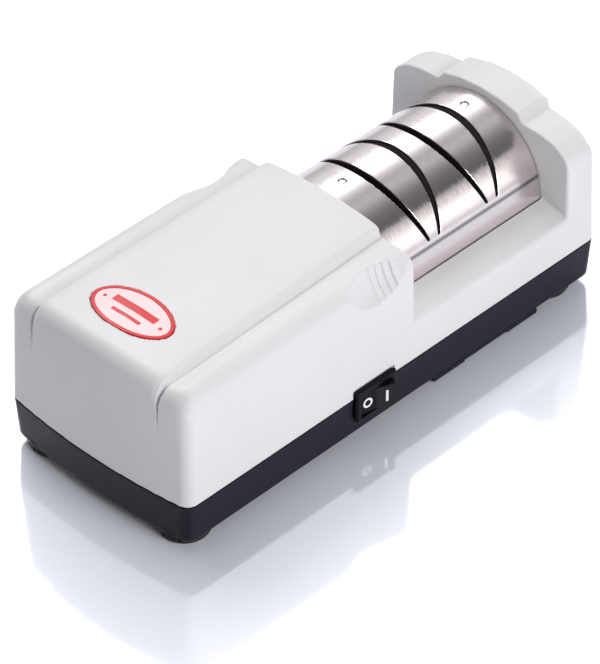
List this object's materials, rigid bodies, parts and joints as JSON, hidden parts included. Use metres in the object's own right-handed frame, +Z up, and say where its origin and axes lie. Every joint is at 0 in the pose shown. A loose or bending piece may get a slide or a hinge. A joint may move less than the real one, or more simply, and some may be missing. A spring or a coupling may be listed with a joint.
{
  "type": "electric knife sharpener",
  "caption": "Bench-top electric blade sharpener: motor under a white hood, grinding wheels under a slotted steel cover, rocker switch, pull-out filings tray, black base on rubber feet.",
  "frame": {"origin": "on the table under the middle of the body's box", "axes": "X runs along the body, motor end at -X and end wall at +X; the switch is on the -Y side; +Z up"},
  "size_m": [0.23, 0.1025, 0.0787],
  "materials": {
    "white_plastic": "satin moulded ABS, fine texture",
    "black_plastic": "charcoal moulded plastic, fine spark texture",
    "guide_plastic": "black moulded plastic",
    "badge": "domed label with a red rim and a pale field",
    "brushed_steel": "stainless sheet, brushed around the arch",
    "foot_rubber": "matt black rubber",
    "bush_rubber": "matt black rubber",
    "zinc_steel": "zinc-plated steel",
    "switch_plastic": "smooth black plastic with white symbols",
    "brass": "plain brass",
    "lamination_steel": "varnished steel laminations",
    "nylon": "natural nylon",
    "copper": "enamelled copper wire",
    "bronze": "sintered bronze",
    "coarse_abrasive": "brown bonded grit",
    "fine_abrasive": "pale bonded grit",
    "felt": "grey pressed felt",
    "wire_cover": "blue wire insulation"
  },
  "bodies": {
    "body": {"upper_housing": "white_plastic", "base_tray": "black_plastic", "badge_plate": "badge", "guide_cover": "brushed_steel", "blade_guide": "guide_plastic", "cover_pin_inner": "brushed_steel", "cover_pin_outer": "brushed_steel", "rubber_foot_motor_front": "foot_rubber", "base_screw_motor_front": "zinc_steel", "rubber_foot_motor_rear": "foot_rubber", "base_screw_motor_rear": "zinc_steel", "rubber_foot_end_front": "foot_rubber", "base_screw_end_front": "zinc_steel", "rubber_foot_end_rear": "foot_rubber", "base_screw_end_rear": "zinc_steel", "guide_screw_inner_front": "zinc_steel", "guide_screw_inner_rear": "zinc_steel", "guide_screw_outer_front": "zinc_steel", "guide_screw_outer_rear": "zinc_steel", "switch_frame": "switch_plastic", "switch_terminal_1": "brass", "switch_terminal_2": "brass", "cord_inlet_bush": "bush_rubber", "stator_core": "lamination_steel", "coil_bobbin": "nylon", "stator_coil": "copper", "motor_bracket_front": "zinc_steel", "motor_bracket_rear": "zinc_steel", "motor_bush_front": "bronze", "motor_bush_rear": "bronze", "motor_screw_near": "zinc_steel", "motor_screw_far": "zinc_steel", "end_bearing": "zinc_steel", "bearing_cap": "black_plastic", "cap_screw_near": "zinc_steel", "cap_screw_far": "zinc_steel", "shaft_seal": "felt", "switch_lead_1": "wire_cover", "switch_lead_2": "wire_cover"},
    "spindle": {"drive_shaft": "zinc_steel", "motor_rotor": "lamination_steel", "cooling_fan": "nylon", "wheel_collar": "zinc_steel", "coarse_wheel": "coarse_abrasive", "wheel_spacer": "zinc_steel", "fine_wheel": "fine_abrasive", "wheel_washer": "zinc_steel", "wheel_nut": "zinc_steel"},
    "rocker": {"switch_rocker": "switch_plastic"},
    "tray": {"filings_tray": "black_plastic"}
  },
  "joints": [
    {"name": "spindle_spin", "type": "hinge", "parent": "body", "child": "spindle", "pos_m": [0, 0, 0.0421], "axis": [1, 0, 0], "continuous": true},
    {"name": "rocker_tilt", "type": "hinge", "parent": "body", "child": "rocker", "pos_m": [-0.0142, -0.0476, 0.0167], "axis": [0, 0, 1], "range_deg": [0, 32]},
    {"name": "tray_slide", "type": "slide", "parent": "body", "child": "tray", "axis": [0, -1, 0], "range_m": [0, 0.06]}
  ]
}
